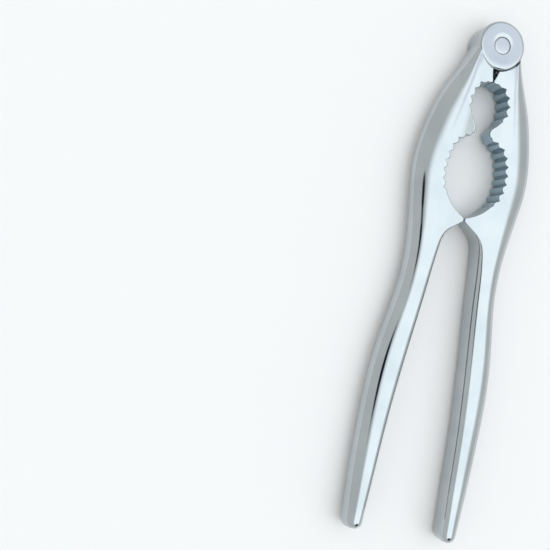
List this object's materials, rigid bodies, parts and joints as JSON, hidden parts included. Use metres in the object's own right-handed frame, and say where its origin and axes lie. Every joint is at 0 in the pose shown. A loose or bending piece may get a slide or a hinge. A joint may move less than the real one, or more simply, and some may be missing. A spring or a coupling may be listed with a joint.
{
  "type": "lobster cracker",
  "caption": "Hinged plated-metal lobster cracker with two toothed jaw openings and long slim handles, lying closed on its back.",
  "frame": {"origin": "pivot axis, at the plane that the cracker lies on", "axes": "+Z along the pivot axis, up; +Y along the levers, from the handle ends to the round head; +X to the lever with the tongue"},
  "size_m": [0.044, 0.1762, 0.01],
  "materials": {
    "chrome_plate": "polished chrome plate over cast metal",
    "pin_steel": "ground and polished steel"
  },
  "bodies": {
    "left_arm": {"left_lever": "chrome_plate", "pivot_pin": "pin_steel"},
    "right_arm": {"right_lever": "chrome_plate"}
  },
  "joints": [
    {"name": "lever_hinge", "type": "hinge", "parent": "left_arm", "child": "right_arm", "pos_m": [0, 0, 0.005], "axis": [0, 0, 1], "range_deg": [0, 120]}
  ]
}
